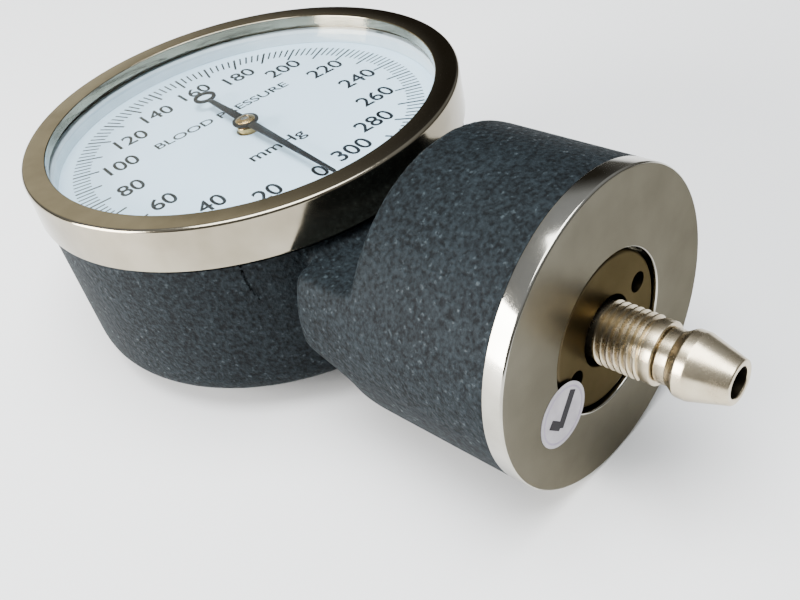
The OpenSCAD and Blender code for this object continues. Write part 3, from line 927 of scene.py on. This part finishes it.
@dataclass
class Casting:
    """The painted casting: the bowl and the barrel in one piece."""

    back_round: float = 2.4
    draft: float = 0.5
    barrel_end_round: float = 6.0
    step_z: float = 17.2
    cavity_r: float = 22.6
    back_wall: float = 1.6
    chamber_r: float = 14.8
    chamber_depth: float = 15.2
    passage_r: float = 5.5
    shoulder_y: float = 31.0
    inner_end: float = 24.5
    neck_front: float = 23.2
    neck_drop: float = 1.4
    neck_lean_deg: float = 23.0
    skin_step: float = 0.4
    soften: int = 26
    mark_angle: float = -133.3
    mark_len: float = 4.2
    spare: float = 2.0

    def __post_init__(self) -> None:
        """Takes the driving sizes from the frame."""
        whole = Extent.of("case_body")
        self.case_r = whole.radius
        self.barrel_r = (whole.high.z - whole.low.z) / 2
        self.axis_z = whole.middle.z
        self.barrel_end = -whole.low.y
        self.shoulder_z = Extent.of("bezel_gasket").low.z
        self.spigot_top = Extent.of("dial_plate").low.z
        self.spigot_r = Extent.of("dial_plate").radius + 0.1
        self.along = Lay.BARREL.matrix(self.axis_z)
        self.clearance = Vector((60, 30, 20))

    def build(self) -> None:
        """Makes the casting and delivers it."""
        rough = self.outside()
        body = rough.cut([self.top_cut(), self.end_cut(), self.hollow(), self.chamber(), self.mark()])
        self.add_spigot(body)
        body.deliver("case_casting", [Shelf.CASE_PAINT], "gauge_case", ["case_body"], "case_paint", 40)

    def outside(self) -> Workpiece:
        """Joins the bowl and the barrel and softens every edge, as a cast and painted skin has.

        Returns:
            The closed outside.
        """
        foot = self.case_r - self.draft
        top = self.shoulder_z + self.spare
        bowl = [
            (0, 0), (foot, 0, self.back_round), (self.case_r, self.shoulder_z), (self.case_r, top), (0, top)
        ]  # fmt: skip
        barrel = [
            (0, self.inner_end),
            (self.barrel_r, self.inner_end, self.barrel_end_round),
            (self.barrel_r, self.barrel_end + self.spare),
            (0, self.barrel_end + self.spare),
        ]
        side_arm = Workpiece().turn(barrel, self.along, closed=False).cut([self.step_block()])
        shape = Workpiece().turn(bowl, closed=False)
        shape.add_mesh(settled_mesh(side_arm.trial()))
        shape.add_mesh(settled_mesh(self.neck().trial()))
        blank = shape.trial()
        skin = blank.modifiers.new("skin", "REMESH")
        skin.mode = "VOXEL"
        skin.voxel_size = self.skin_step
        soft = blank.modifiers.new("soft", "SMOOTH")
        soft.factor = 0.5
        soft.iterations = self.soften
        return Workpiece().add_mesh(settled_mesh(blank))

    def step_block(self) -> Workpiece:
        """Gives the block that clears the barrel beside the bezel."""
        size = Vector((self.clearance.x, self.shoulder_y, self.clearance.z))
        where = Matrix.Translation((0, -size.y / 2, self.step_z + size.z / 2))
        return Workpiece().block(size, where)

    def neck(self) -> Workpiece:
        """Gives the upper half of the barrel's inner end, which runs on to the bowl.

        Returns:
            The neck, cut down to the barrel's round and to the step.
        """
        front, back = self.neck_front, self.shoulder_y + self.spare
        corners = [(0, front), (self.barrel_r, front, 0.8), (self.barrel_r, back), (0, back)]
        blank = Workpiece().turn(corners, self.along, closed=False)
        foot = Matrix.Translation((0, -front, self.axis_z - self.neck_drop))
        lean = foot @ Matrix.Rotation(math.radians(self.neck_lean_deg), 4, "X")
        slope = Workpiece().block(self.clearance, lean @ Matrix.Translation((0, -3, -self.clearance.z / 2)))
        return blank.cut([self.step_block(), slope])

    def top_cut(self) -> Workpiece:
        """Gives the disc that levels the shoulder under the bezel."""
        low, high = self.shoulder_z, self.shoulder_z + 30
        reach = self.shoulder_y - 3.5
        return Workpiece().turn([(0, low), (reach, low), (reach, high), (0, high)], closed=False)

    def end_cut(self) -> Workpiece:
        """Gives the disc that faces the barrel's end."""
        reach, far = self.barrel_r + 3, self.barrel_end + 8
        corners = [(0, self.barrel_end), (reach, self.barrel_end), (reach, far), (0, far)]
        return Workpiece().turn(corners, self.along, closed=False)

    def hollow(self) -> Workpiece:
        """Gives the round space for the movement."""
        low, top = self.back_wall, self.shoulder_z + 5
        corners = [(0, low), (self.cavity_r, low, 0.6), (self.cavity_r, top), (0, top)]
        return Workpiece().turn(corners, closed=False)

    def chamber(self) -> Workpiece:
        """Gives the capsule's chamber with the passage into the bowl."""
        start, near, far = self.cavity_r - 4, self.barrel_end - self.chamber_depth, self.barrel_end + 5
        corners = [
            (0, start), (self.passage_r, start), (self.passage_r, near), (self.chamber_r, near),
            (self.chamber_r, far), (0, far),
        ]  # fmt: skip
        return Workpiece().turn(corners, self.along, closed=False)

    def mark(self) -> Workpiece:
        """Gives the short curved line in the bowl's wall, under the bezel."""
        line = Workpiece()
        pieces = 7
        for i in range(pieces):
            share = i / (pieces - 1)
            angle = self.mark_angle + 1.6 * share**3
            z = self.shoulder_z - self.mark_len * share
            size = Vector((1.2, 0.30 - 0.16 * share, self.mark_len / pieces * 1.6))
            line.block(size, turned_about_dial(angle, self.case_r + 0.38, z))
        return line

    def add_spigot(self, body: Workpiece) -> None:
        """Adds the ring that the bezel is pressed on and the bosses for the movement's screws.

        Args:
            body: The casting.
        """
        low = self.shoulder_z - 0.3
        body.turn([
            (self.cavity_r, low), (self.spigot_r, low), (self.spigot_r, self.spigot_top, 0.1),
            (self.cavity_r, self.spigot_top, 0.1),
        ])  # fmt: skip
        top = Extent.of("movement_base_plate").low.z
        for angle in (0, 120, 240):
            spot = turned_about_dial(angle, 17.2, 0)
            body.turn([(0.7, 1), (2.2, 1), (2.2, top, 0.2), (0.7, top)], spot, 32)


@dataclass
class Bezel:
    """The polished ring and what it holds: the seal, the pane and the spacer."""

    edge: float = 0.40
    lip_round: float = 0.12
    roll: float = 0.25
    top_fall: float = 0.1
    opening_r: float = 23.2
    pane_play: float = 0.15
    spacer_w: float = 0.9

    def __post_init__(self) -> None:
        """Takes the driving sizes from the frame."""
        ring = Extent.of("bezel_ring")
        pane = Extent.of("lens")
        self.outer, self.low, self.high = ring.radius, ring.low.z, ring.high.z
        self.bore = pane.radius + self.pane_play
        self.pane_r, self.pane_low, self.pane_high = pane.radius, pane.low.z, pane.high.z
        self.spacer = Extent.of("lens_spacer")

    def build(self) -> None:
        """Makes the ring, the pane and the spacer and delivers them."""
        Workpiece().turn(
            [
                (self.bore, self.low, 0.08),
                (self.outer, self.low, self.roll),
                (self.outer, self.high, self.edge),
                (self.opening_r, self.high - self.top_fall, self.lip_round),
                (self.opening_r, self.pane_high),
                (self.bore, self.pane_high),
            ],
            steps=288,
        ).deliver("bezel", [Shelf.BEZEL_NICKEL], "gauge_case", ["bezel_ring"], "bezel_nickel", 40)
        Workpiece().turn(
            [
                (0, self.pane_low),
                (self.pane_r, self.pane_low, 0.1),
                (self.pane_r, self.pane_high, 0.12),
                (0, self.pane_high),
            ],
            closed=False,
        ).deliver("pane", [Shelf.PANE], "gauge_case", ["lens"], "lens_clear")
        inner = self.spacer.radius - self.spacer_w
        low, high = self.spacer.low.z, self.spacer.high.z
        Workpiece().turn(
            [
                (inner, low, 0.1),
                (self.spacer.radius, low),
                (self.spacer.radius, high),
                (inner + 0.25, high, 0.08),
                (inner, high - 0.35, 0.1),
            ]
        ).deliver("pane_spacer", [Shelf.SPACER_WHITE], "gauge_case", ["lens_spacer"], "spacer_white")
        dress_node("bezel_gasket", Shelf.RUBBER)


@dataclass
class Dial:
    """The printed dial plate."""

    turn_deg: float = -9.6
    sweep_deg: float = 342.0
    top_value: int = 300
    tick_every: int = 2
    tick_outer: float = 21.4
    short_tick: float = 2.1
    long_tick: float = 3.2
    tick_width: float = 0.23
    long_width: float = 0.29
    number_radius: float = 15.7
    number_height: float = 2.7
    number_share: float = 0.86
    print_thick: float = 0.02
    legend: str = "BLOOD PRESSURE"
    legend_up: float = 6.4
    legend_height: float = 1.6
    legend_share: float = 1.08
    unit: str = "mmHg"
    unit_down: float = 6.8
    unit_height: float = 2.6
    unit_share: float = 1.0

    def __post_init__(self) -> None:
        """Takes the plate's place from the frame."""
        plate = Extent.of("dial_plate")
        self.radius, self.low, self.face = plate.radius, plate.low.z, plate.high.z
        self.zero_deg = -90 + self.turn_deg

    def angle_of(self, value: float) -> float:
        """Gives the angle of a value on the scale, in degrees from +X."""
        return self.zero_deg - self.sweep_deg * value / self.top_value

    def upright(self, angle_deg: float, radius: float) -> Matrix:
        """Gives the place of lettering that stands upright on the dial.

        Args:
            angle_deg: The angle of its centre from +X.
            radius: The distance of its centre from the dial's axis.

        Returns:
            The transform.
        """
        angle = math.radians(angle_deg)
        spot = Vector((math.cos(angle), math.sin(angle), 0)) * radius
        spot.z = self.face
        return Matrix.Translation(spot) @ Matrix.Rotation(math.radians(self.turn_deg), 4, "Z")

    def build(self) -> None:
        """Makes the plate, its ticks, its numbers and its words and delivers them."""
        Workpiece().turn(
            [(1.4, self.low), (self.radius, self.low), (self.radius, self.face), (1.4, self.face, 0.06)]
        ).deliver("dial", [Shelf.DIAL_WHITE], "gauge_case", ["dial_plate"], "dial_white")
        self.ticks().deliver("dial_scale", [Shelf.DIAL_INK], "gauge_case")
        self.numbers().deliver("dial_numbers", [Shelf.DIAL_INK], "gauge_case")
        self.words().deliver("dial_words", [Shelf.DIAL_INK], "gauge_case")

    def ticks(self) -> Workpiece:
        """Gives a tick for every second unit, longer at the tens."""
        marks = Workpiece()
        for value in range(0, self.top_value + 1, self.tick_every):
            long = value % 10 == 0
            length = self.long_tick if long else self.short_tick
            width = self.long_width if long else self.tick_width
            spot = turned_about_dial(self.angle_of(value), self.tick_outer - length / 2, self.face)
            marks.block(Vector((length, width, self.print_thick)), spot)
        return marks

    def numbers(self) -> Workpiece:
        """Gives the number at every twentieth unit."""
        marks = Workpiece()
        for value in range(0, self.top_value + 1, 20):
            label = lettering(str(value), self.number_height, self.number_share, self.print_thick)
            spot = self.upright(self.angle_of(value), self.number_radius)
            marks.add_mesh(settled_mesh(label.trial()), spot)
        return marks

    def words(self) -> Workpiece:
        """Gives the line over the pointer's boss and the unit under it."""
        marks = Workpiece()
        title = lettering(self.legend, self.legend_height, self.legend_share, self.print_thick)
        unit = lettering(self.unit, self.unit_height, self.unit_share, self.print_thick)
        marks.add_mesh(settled_mesh(title.trial()), self.upright(90 + self.turn_deg, self.legend_up))
        marks.add_mesh(settled_mesh(unit.trial()), self.upright(-90 + self.turn_deg, self.unit_down))
        return marks


@dataclass
class Pointer:
    """The needle with its boss and the bush that shows under it."""

    hub_r: float = 1.6
    hub_bore: float = 0.9
    soft: float = 0.05
    root_w: float = 1.12
    tip_w: float = 0.40
    tail_w: float = 0.62
    tip_at: float = 19.1
    tail_at: float = 10.4
    ring_r: float = 1.45
    ring_w: float = 0.50
    dome_r: float = 1.2
    sleeve_r: float = 0.95
    turn_deg: float = -99.6

    def __post_init__(self) -> None:
        """Takes the heights from the frame."""
        blade, boss, bush = Extent.of("pointer"), Extent.of("pointer_boss"), Extent.of("upper_bush")
        self.low, self.high = blade.low.z, blade.high.z
        self.boss_low, self.boss_high = boss.low.z, boss.high.z
        self.bush = bush

    def build(self) -> None:
        """Makes the needle, the boss and the bush and delivers them."""
        self.needle().deliver(
            "needle", [Shelf.NEEDLE_BLACK], "pointer_assembly", ["pointer"], "pointer_black"
        )
        Workpiece().turn(
            [
                (0.6, self.boss_low, 0.05),
                (self.sleeve_r, self.boss_low, 0.05),
                (self.sleeve_r, self.high),
                (self.dome_r, self.high),
                (self.dome_r, self.high + 0.08, 0.06),
                (self.dome_r * 0.72, self.boss_high - 0.09, 0.25),
                (0.6, self.boss_high),
            ],
            steps=96,
        ).deliver("needle_boss", [Shelf.BRASS], "pointer_assembly", ["pointer_boss"], "brass", 50)
        low, high, r = self.bush.low.z, self.bush.high.z, self.bush.radius
        Workpiece().turn(
            [(0.63, low), (r, low), (r, high, 0.15), (0.63, high, 0.08)], steps=96
        ).deliver("centre_bush", [Shelf.BRASS], "gauge_case", ["upper_bush"], "brass", 50)

    def needle(self) -> Workpiece:
        """Gives the tapered blade with its hub and the open ring on its tail.

        Returns:
            The needle, pointing at zero.
        """
        flat = turned_about_dial(self.turn_deg, 0, self.low)
        tail = flat @ Matrix.Translation((-self.tail_at, 0, 0))
        thick = self.high - self.low
        shape = Workpiece()
        rings = ((self.hub_bore, self.hub_r, flat, 64), (self.ring_r - self.ring_w, self.ring_r, tail, 48))
        for inner, outer, spot, steps in rings:
            corners = [(inner, 0), (outer, 0), (outer, thick), (inner, thick)]
            shape.turn([(*corner, self.soft) for corner in corners], spot, steps)
        tail_end = self.tail_at - self.ring_r + self.ring_w / 2
        self.add_arm(shape, flat, self.tip_at, self.tip_w, thick / 2)
        self.add_arm(shape, flat, -tail_end, self.tail_w, thick / 2)
        return shape

    def add_arm(self, shape: Workpiece, flat: Matrix, reach: float, end_w: float, middle: float) -> None:
        """Adds one arm of the needle, from the hub outwards.

        Args:
            shape: The needle.
            flat: The needle's place.
            reach: How far the arm goes from the axis, negative for the tail.
            end_w: Its width at the end.
            middle: The height of its middle.
        """
        start = math.copysign(1.2, reach)
        length = reach - start
        before = set(shape.bm.verts)
        size = Vector((abs(length), self.root_w, 2 * middle))
        shape.block(size, Matrix.Translation((start + length / 2, 0, middle)))
        fresh = [v for v in shape.bm.verts if v not in before]
        for v in fresh:
            if abs(v.co.x - reach) < 0.01:
                v.co.y *= end_w / self.root_w
        edges = list({e for v in fresh for e in v.link_edges})
        bmesh.ops.bevel(
            shape.bm, geom=edges, offset=self.soft, affect="EDGES", segments=2, profile=0.5, material=-1
        )
        placed = [v for v in shape.bm.verts if v not in before]
        bmesh.ops.transform(shape.bm, matrix=flat, verts=placed)


@dataclass
class CapAndNipple:
    """The barrel's end: cap, nut, threaded stem, hose barb and inspection sticker."""

    edge: float = 0.28
    spigot_r: float = 14.75
    seal_r: float = 13.95
    seal_in: float = 1.05
    seal_groove_w: float = 1.1
    flange_hole_r: float = 7.2
    groove: float = 0.36
    thread_r: float = 3.25
    nut_recess: float = 0.3
    nut_t: float = 3.4
    hole_pcd: float = 11.6
    hole_r: float = 1.1
    hole_deep: float = 2.2
    hole_turn: float = 22.0
    thread_pitch: float = 0.7
    thread_turns: float = 7.0
    core_drop: float = 0.32
    collar_len: float = 1.1
    air_r: float = 1.5
    socket_r: float = 2.3
    socket_deep: float = 3.5
    plug_r: float = 2.28
    neck_r: float = 2.7
    barb_r: float = 3.3
    mouth_r: float = 2.15
    neck_len: float = 1.2
    rise_len: float = 0.9
    land_len: float = 1.0
    joint_line: float = 0.12

    def __post_init__(self) -> None:
        """Takes the driving sizes from the frame."""
        cap, nut, stem = Extent.of("end_cap"), Extent.of("retaining_nut"), Extent.of("pressure_stem")
        self.axis_z = cap.middle.z
        self.cap_r = (cap.high.z - cap.low.z) / 2
        self.cap_face = -cap.low.y
        self.barrel_end = -Extent.of("case_body").low.y
        self.inner_end = -cap.high.y
        self.nut_r = nut.radius
        self.stem_end = -stem.low.y
        self.stem_back = -stem.high.y
        self.flange_r = stem.radius
        self.mouth_y = -Extent.of("hose_barb").low.y
        self.along = Lay.BARREL.matrix(self.axis_z)

    def build(self) -> None:
        """Makes each piece and delivers it."""
        self.cap()
        self.nut()
        self.stem()
        self.barb()
        self.sticker()

    def cap(self) -> None:
        """Makes the cap: a polished band round a satin face."""
        bore = self.nut_r + self.groove
        nut_back = self.cap_face - self.nut_t
        seal = self.barrel_end - self.seal_in
        low, high = seal - self.seal_groove_w / 2, seal + self.seal_groove_w / 2
        cap = Workpiece().turn(
            [
                (self.flange_hole_r, self.inner_end, 0.1), (self.spigot_r, self.inner_end, 0.2),
                (self.spigot_r, low), (self.seal_r, low), (self.seal_r, high), (self.spigot_r, high),
                (self.spigot_r, self.barrel_end), (self.cap_r, self.barrel_end, 0.08),
                (self.cap_r, self.cap_face, self.edge), (bore, self.cap_face, 0.2),
                (bore, nut_back), (self.flange_hole_r, nut_back),
            ],
            self.along,
            288,
        )  # fmt: skip
        front = -(self.cap_face - 0.02)
        cap.face_finish(1, lambda f: f.calc_center_median().y < front)
        finishes = [Shelf.CAP_BAND, Shelf.CAP_FACE]
        cap.deliver("cap", finishes, "gauge_case", ["end_cap"], "cap_nickel", 40)

    def nut(self) -> None:
        """Makes the retaining nut with its two spanner holes."""
        top, low = self.cap_face - self.nut_recess, self.cap_face - self.nut_t
        hole = self.thread_r + 0.4
        blank = Workpiece().turn(
            [(hole, low), (self.nut_r, low), (self.nut_r, top, 0.4), (hole, top, 0.15)], self.along
        )
        drills = []
        for side in (0, 180):
            angle = math.radians(self.hole_turn + side)
            spot = Matrix.Translation(
                (self.hole_pcd / 2 * math.cos(angle), self.hole_pcd / 2 * math.sin(angle), 0)
            )
            bottom = self.cap_face - self.hole_deep
            shape = [(0, bottom - 0.5), (self.hole_r, bottom), (self.hole_r, top + 1), (0, top + 1)]
            drills.append(Workpiece().turn(shape, self.along @ spot, 40, closed=False))
        blank.cut(drills).deliver(
            "cap_nut", [Shelf.NUT_BRONZE], "gauge_case", ["retaining_nut"], "nut_bronze", 28
        )

    def stem(self) -> None:
        """Makes the stem with a wound thread and a plain collar."""
        flange_front = self.cap_face - self.nut_t - 0.5
        core = self.thread_r - self.core_drop
        collar_r, collar_start = self.thread_r - 0.1, self.stem_end - self.collar_len
        socket_end = self.stem_end - self.socket_deep
        stem = Workpiece().turn(
            [
                (self.air_r, self.stem_back), (self.flange_r, self.stem_back, 0.1),
                (self.flange_r, flange_front, 0.1), (core, flange_front), (core, collar_start - 0.15),
                (collar_r, collar_start, 0.05), (collar_r, self.stem_end, 0.12),
                (self.socket_r, self.stem_end), (self.socket_r, socket_end), (self.air_r, socket_end),
            ],
            self.along,
            120,
        )  # fmt: skip
        turns, start = self.thread_turns - 0.4, self.cap_face - 0.1
        stem.thread(core - 0.1, self.thread_r, start, self.thread_pitch, turns, self.along)
        stem.deliver(
            "threaded_stem", [Shelf.STEM_NICKEL], "gauge_case", ["pressure_stem"], "stem_nickel", 30
        )

    def barb(self) -> None:
        """Makes the hose barb with rounded shoulders and an open mouth, with painted shade inside its bore.
        """
        start = self.stem_end + self.joint_line
        rise = start + self.neck_len
        land = rise + self.rise_len
        taper = land + self.land_len
        plug_end = self.stem_end - self.socket_deep + 0.05
        barb = Workpiece().turn(
            [
                (self.air_r, plug_end), (self.plug_r, plug_end, 0.1), (self.plug_r, start),
                (self.neck_r, start, 0.1), (self.neck_r, rise, 0.3), (self.barb_r, land, 0.5),
                (self.barb_r, taper, 0.9), (self.mouth_r, self.mouth_y, 0.22),
                (self.air_r, self.mouth_y, 0.22),
            ],
            self.along,
            144,
        )  # fmt: skip
        # The air bore's faces take the near-black finish: painted shade inside the narrow bore.
        centre = Vector((0, self.axis_z))
        inside = self.air_r + 0.02
        barb.face_finish(1, lambda f: (f.calc_center_median().xz - centre).length < inside)
        finishes = [Shelf.STEM_NICKEL, Shelf.BORE_TARNISH]
        barb.deliver("hose_barb_nozzle", finishes, "gauge_case", ["hose_barb"], "stem_nickel", 40)

    def sticker(self) -> None:
        """Makes the round inspection sticker with a ring and a check mark."""
        paper = Extent.of("quality_sticker")
        centre = paper.middle
        r = paper.radius
        back, front = -paper.high.y, -paper.low.y
        where = self.along @ Matrix.Translation((centre.x, centre.z - self.axis_z, 0))
        top = front - 0.03
        disc = Workpiece().turn([(0, back), (r, back), (r, top, 0.02), (0, top)], where, 96, closed=False)
        disc.deliver("inspection_sticker", [Shelf.PAPER], "gauge_case", ["quality_sticker"], "sticker_paper")
        inner, outer, low, high = r * 0.84, r * 0.90, front - 0.04, front - 0.01
        ring = Workpiece().turn([(inner, low), (outer, low), (outer, high), (inner, high)], where, 96)
        ring.deliver("sticker_ring", [Shelf.STICKER_RING], "gauge_case")
        check = Workpiece()
        for length, angle, x, y, thick in ((1.9, -45, -1.25, -0.35, 0.025), (3.9, 52, 0.55, 0.35, 0.03)):
            bar = Matrix.Translation((x, y, front - 0.02)) @ Matrix.Rotation(math.radians(angle), 4, "Z")
            check.block(Vector((length, 0.95, thick)), where @ bar)
        check.deliver("sticker_check", [Shelf.STICKER_INK], "gauge_case")


def dress_node(node: str, finish: Finish) -> None:
    """Gives a CAD node that stays in view its finish.

    Args:
        node: The node's name.
        finish: Its finish.
    """
    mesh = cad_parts[node].data
    mesh.materials.clear()
    mesh.materials.append(finish.material())
    LOG.info("%s: dressed with %s", node, finish.name)


class Movement:
    """The works behind the dial, kept as the frame has them."""

    FINISHES: dict[str, Finish] = {
        "pinion_arbor": Shelf.STEEL,
        "lower_bush": Shelf.BRASS,
        "hairspring": Shelf.SPRING_STEEL,
        "hairspring_collet": Shelf.BRASS,
        "hairspring_stud": Shelf.STEEL,
        "movement_base_plate": Shelf.PLATE_ALLOY,
        "movement_top_plate": Shelf.PLATE_ALLOY,
        "movement_pillars": Shelf.BRASS,
        "pillar_screws": Shelf.STEEL,
        "base_screws": Shelf.STEEL,
        "sector_gear": Shelf.BRASS,
        "sector_shaft": Shelf.STEEL,
        "lever_arm": Shelf.STEEL,
        "push_pin": Shelf.STEEL,
        "pin_guide": Shelf.BRASS,
        "capsule_boss": Shelf.BRASS,
        "capsule_moving_half": Shelf.CAPSULE_BRONZE,
        "capsule_fixed_half": Shelf.CAPSULE_BRONZE,
        "stem_washer": Shelf.RUBBER,
        "cap_seal": Shelf.RUBBER,
    }

    def build(self) -> None:
        """Dresses every part of the works."""
        for node, finish in self.FINISHES.items():
            dress_node(node, finish)


# ---------------------------------------------------------------- the studio


@dataclass
class Studio:
    """Floor, light and camera. None of it is part of the gauge.

    A part of the sky is its azimuth from +X, its height, its half-faded radius (degrees) and its colour.
    """

    camera_at: Vector
    aim: Vector
    roll_deg: float = -13.35
    lens_mm: float = 43.96
    floor_size: float = 3000.0
    floor_gap: float = 0.05
    far_rim_in: float = 2.4
    sky_power: float = 0.6
    sky_stops: tuple[tuple[float, Colour], ...] = ((0.0, (0.20, 0.19, 0.165)), (0.9, (0.80, 0.84, 0.90)))
    sky_parts: tuple[tuple[float, float, float, Colour], ...] = (
        (74.0, 26.0, 16.0, (1.50, 1.42, 1.12)),
        (40.0, 21.0, 15.0, (0.05, 0.045, 0.035)),
    )

    def build(self) -> None:
        """Sets up the floor, the lights, the sky and the camera."""
        self.floor()
        self.sky()
        self.lamp("window", Vector((-370, 165, 140)), 250, 6.5, (1.0, 0.99, 0.97))
        self.lamp("ceiling", Vector((-40, -60, 520)), 420, 7.5, (0.95, 0.98, 1.0))
        self.camera()

    def floor(self) -> None:
        """Lays a pale floor under the cap's rim and the far edge of the bowl, where the gauge rests."""
        cap = Extent.of("end_cap")
        case = Extent.of("case_body")
        far = case.high.y - self.far_rim_in
        slope = math.atan2(-case.low.z, far - cap.low.y)
        sheet = Workpiece()
        bmesh.ops.create_grid(sheet.bm, x_segments=1, y_segments=1, size=self.floor_size)
        lean = Matrix.Translation((0, far, 0)) @ Matrix.Rotation(slope, 4, "X")
        where = lean @ Matrix.Translation((0, 0, -self.floor_gap))
        bmesh.ops.transform(sheet.bm, matrix=where, verts=sheet.bm.verts)
        finish = Coating("floor_white", (0.86, 0.86, 0.86), (0.84, 0.84, 0.84), 0.6, 0.05, 60.0, 4.0)
        bmesh.ops.scale(sheet.bm, vec=(MM, MM, MM), verts=sheet.bm.verts)
        mesh = bpy.data.meshes.new("floor")
        sheet.bm.to_mesh(mesh)
        sheet.bm.free()
        mesh.materials.append(finish.material())
        floor = bpy.data.objects.new("floor", mesh)
        bpy.context.scene.collection.objects.link(floor)

    def sky(self) -> None:
        """Fills the surroundings with soft pale light that has a dark part and a warm bright part."""
        sky = Recipe(bpy.data.worlds.new("studio_sky"))
        way = sky.node("ShaderNodeTexCoord").outputs["Generated"]
        up = sky.node("ShaderNodeSeparateXYZ", None, {0: way}).outputs[2]
        colour = sky.node("ShaderNodeValToRGB", {"stops": self.sky_stops}, {0: up}).outputs[0]
        for azimuth, height, reach, tone in self.sky_parts:
            turn = Matrix.Rotation(math.radians(azimuth), 3, "Z")
            centre = turn @ Matrix.Rotation(math.radians(-height), 3, "Y") @ Vector((1, 0, 0))
            near = sky.node("ShaderNodeVectorMath", {"operation": "DOT_PRODUCT"}, {0: way, 1: centre})
            edges = [math.cos(math.radians(reach * share)) for share in (1.5, 0.5)]
            colour = sky.blend(Signal(sky, near.outputs["Value"]).ramp(*edges), colour, tone)
        light = sky.node("ShaderNodeBackground", None, {"Color": colour, "Strength": self.sky_power})
        sky.node("ShaderNodeOutputWorld", None, {"Surface": light.outputs[0]})
        bpy.context.scene.world = sky.owner

    def lamp(self, name: str, where: Vector, size: float, power: float, colour: Colour) -> None:
        """Hangs a soft square lamp that faces the gauge.

        Args:
            name: The lamp's name.
            where: Its place, in millimetres.
            size: Its width, in millimetres.
            power: Its power, in watts.
            colour: Its colour.
        """
        data = bpy.data.lights.new(name, "AREA")
        data.shape = "SQUARE"
        data.size = size * MM
        data.energy = power
        data.color = colour
        lamp = bpy.data.objects.new(name, data)
        lamp.location = where * MM
        lamp.rotation_euler = (self.aim - where).to_track_quat("-Z", "Y").to_euler()
        bpy.context.scene.collection.objects.link(lamp)

    def camera(self) -> None:
        """Sets the camera at its place, level with the aim, then rolls it."""
        data = bpy.data.cameras.new("camera")
        data.lens = self.lens_mm
        data.sensor_width = 36.0
        data.clip_start, data.clip_end = 0.005, 20.0
        camera = bpy.data.objects.new("camera", data)
        bpy.context.scene.collection.objects.link(camera)
        look = (self.aim - self.camera_at).to_track_quat("-Z", "Y").to_matrix().to_4x4()
        roll = Matrix.Rotation(math.radians(self.roll_deg), 4, "Z")
        camera.matrix_world = Matrix.Translation(self.camera_at * MM) @ look @ roll
        bpy.context.scene.camera = camera


def main() -> None:
    """Builds the gauge, then the studio round it."""
    logging.basicConfig(level=logging.INFO, format="%(name)s %(message)s")
    Casting().build()
    Bezel().build()
    Dial().build()
    Pointer().build()
    CapAndNipple().build()
    Movement().build()
    Studio(Vector((-57.462, -91.177, 72.842)), Vector((-14.58, -38.45, 20.0))).build()


if __name__ == "__main__":
    main()
